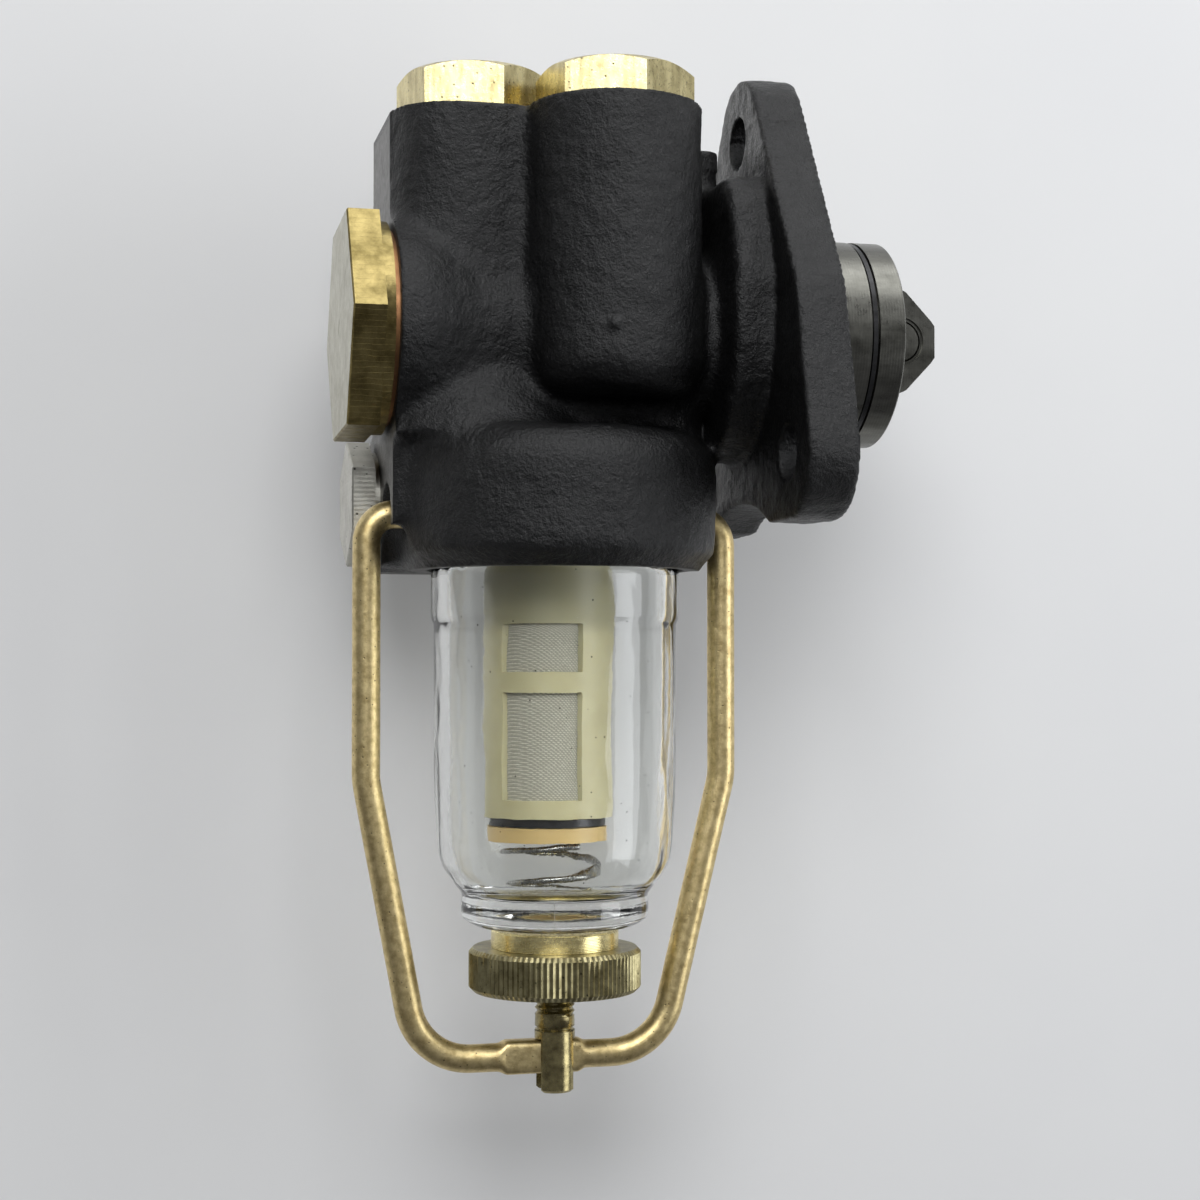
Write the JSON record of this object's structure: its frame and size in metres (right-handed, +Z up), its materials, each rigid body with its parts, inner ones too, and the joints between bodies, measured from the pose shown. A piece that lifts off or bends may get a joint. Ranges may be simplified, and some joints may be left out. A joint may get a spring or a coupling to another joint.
{
  "type": "diesel fuel feed pump with sediment bowl",
  "caption": "Plunger fuel feed pump: triangular flange and roller tappet on one side, glass sediment bowl with strainer held below by a wire bail and knurled nut.",
  "frame": {"origin": "centre of the flange's mounting face, on the tappet axis", "axes": "+X along the tappet axis towards the engine, +Z up towards the valve plugs, +Y towards the outlet port; the glass bowl hangs below"},
  "size_m": [0.1213, 0.0884, 0.2027],
  "materials": {
    "cast_housing": "black semi-gloss paint on rough sand-cast iron",
    "yellow_zinc": "yellow-passivated zinc on turned steel",
    "dark_zinc": "aged yellow-passivated zinc, saw-toothed turning lines",
    "copper_washer": "soft copper, dull",
    "pale_steel": "silvery zinc plating, satin",
    "ground_steel": "ground and turned steel, oily sheen",
    "dark_steel": "blackened spring steel",
    "bright_spring_steel": "drawn spring wire",
    "valve_plastic": "oil-proof dark plastic",
    "seal_rubber": "black oil-proof rubber",
    "clear_glass": "clear pressed glass with faint ripples",
    "strainer_plastic": "cream translucent moulded plastic",
    "woven_mesh": "pale woven filter mesh",
    "bail_wire": "yellow-passivated wire, satin and speckled",
    "stud_brass": "bright yellow-passivated thread",
    "nut_brass": "darker turned brass, straight knurl",
    "collar_brass": "bright turned brass"
  },
  "bodies": {
    "pump": {"pump_housing": "cast_housing", "spring_chamber_plug": "dark_zinc", "spring_plug_washer": "copper_washer", "inlet_port_plug": "pale_steel", "inlet_plug_washer": "pale_steel", "delivery_valve_plug": "yellow_zinc", "delivery_valve_washer": "copper_washer", "delivery_valve_spring": "bright_spring_steel", "suction_valve_plug": "yellow_zinc", "suction_valve_washer": "copper_washer", "suction_valve_spring": "bright_spring_steel", "piston_spring": "bright_spring_steel", "bowl_gasket": "seal_rubber", "glass_bowl": "clear_glass", "strainer_frame": "strainer_plastic", "strainer_mesh": "woven_mesh", "strainer_clip_ring": "dark_steel", "strainer_spring": "bright_spring_steel"},
    "tappet": {"tappet_body": "ground_steel", "tappet_snap_ring": "dark_steel", "roller_pin": "ground_steel"},
    "roller": {"roller": "ground_steel"},
    "push_rod": {"push_rod": "ground_steel"},
    "piston": {"piston": "ground_steel"},
    "suction_disc": {"suction_valve_disc": "valve_plastic"},
    "delivery_disc": {"delivery_valve_disc": "valve_plastic"},
    "bail": {"bail": "bail_wire", "bail_stud": "stud_brass"},
    "collar": {"pressure_collar": "collar_brass"},
    "nut": {"knurled_nut": "nut_brass"}
  },
  "joints": [
    {"name": "tappet_slide", "type": "slide", "parent": "pump", "child": "tappet", "axis": [1, 0, 0], "range_m": [-0.007, 0], "stiffness_N_per_m": 1500, "springref_m": 0.004},
    {"name": "roller_spin", "type": "hinge", "parent": "tappet", "child": "roller", "pos_m": [0.0218, 0, 0], "axis": [0, 1, 0], "continuous": true},
    {"name": "push_rod_slide", "type": "slide", "parent": "pump", "child": "push_rod", "axis": [1, 0, 0], "range_m": [-0.007, 0]},
    {"name": "piston_slide", "type": "slide", "parent": "pump", "child": "piston", "axis": [1, 0, 0], "range_m": [-0.007, 0], "deforming": ["piston_spring"]},
    {"name": "suction_disc_lift", "type": "slide", "parent": "pump", "child": "suction_disc", "axis": [0, 0, 1], "range_m": [0, 0.002], "stiffness_N_per_m": 150, "springref_m": -0.002, "deforming": ["suction_valve_spring"]},
    {"name": "delivery_disc_lift", "type": "slide", "parent": "pump", "child": "delivery_disc", "axis": [0, 0, 1], "range_m": [0, 0.002], "stiffness_N_per_m": 150, "springref_m": -0.002, "deforming": ["delivery_valve_spring"]},
    {"name": "bail_swing", "type": "hinge", "parent": "pump", "child": "bail", "pos_m": [-0.048, 0, -0.0362], "axis": [-1, 0, 0], "range_deg": [0, 100]},
    {"name": "collar_slide", "type": "slide", "parent": "bail", "child": "collar", "axis": [0, 0, -1], "range_m": [0, 0.005]},
    {"name": "nut_turn", "type": "hinge", "parent": "collar", "child": "nut", "pos_m": [-0.048, 0, -0.125], "axis": [0, 0, -1], "range_deg": [0, 1440]}
  ],
  "couplings": [
    {"joint": "push_rod_slide", "follows": "tappet_slide", "ratio": 1},
    {"joint": "piston_slide", "follows": "tappet_slide", "ratio": 1},
    {"joint": "nut_turn", "follows": "collar_slide", "rad_per_m": 5026.5}
  ]
}
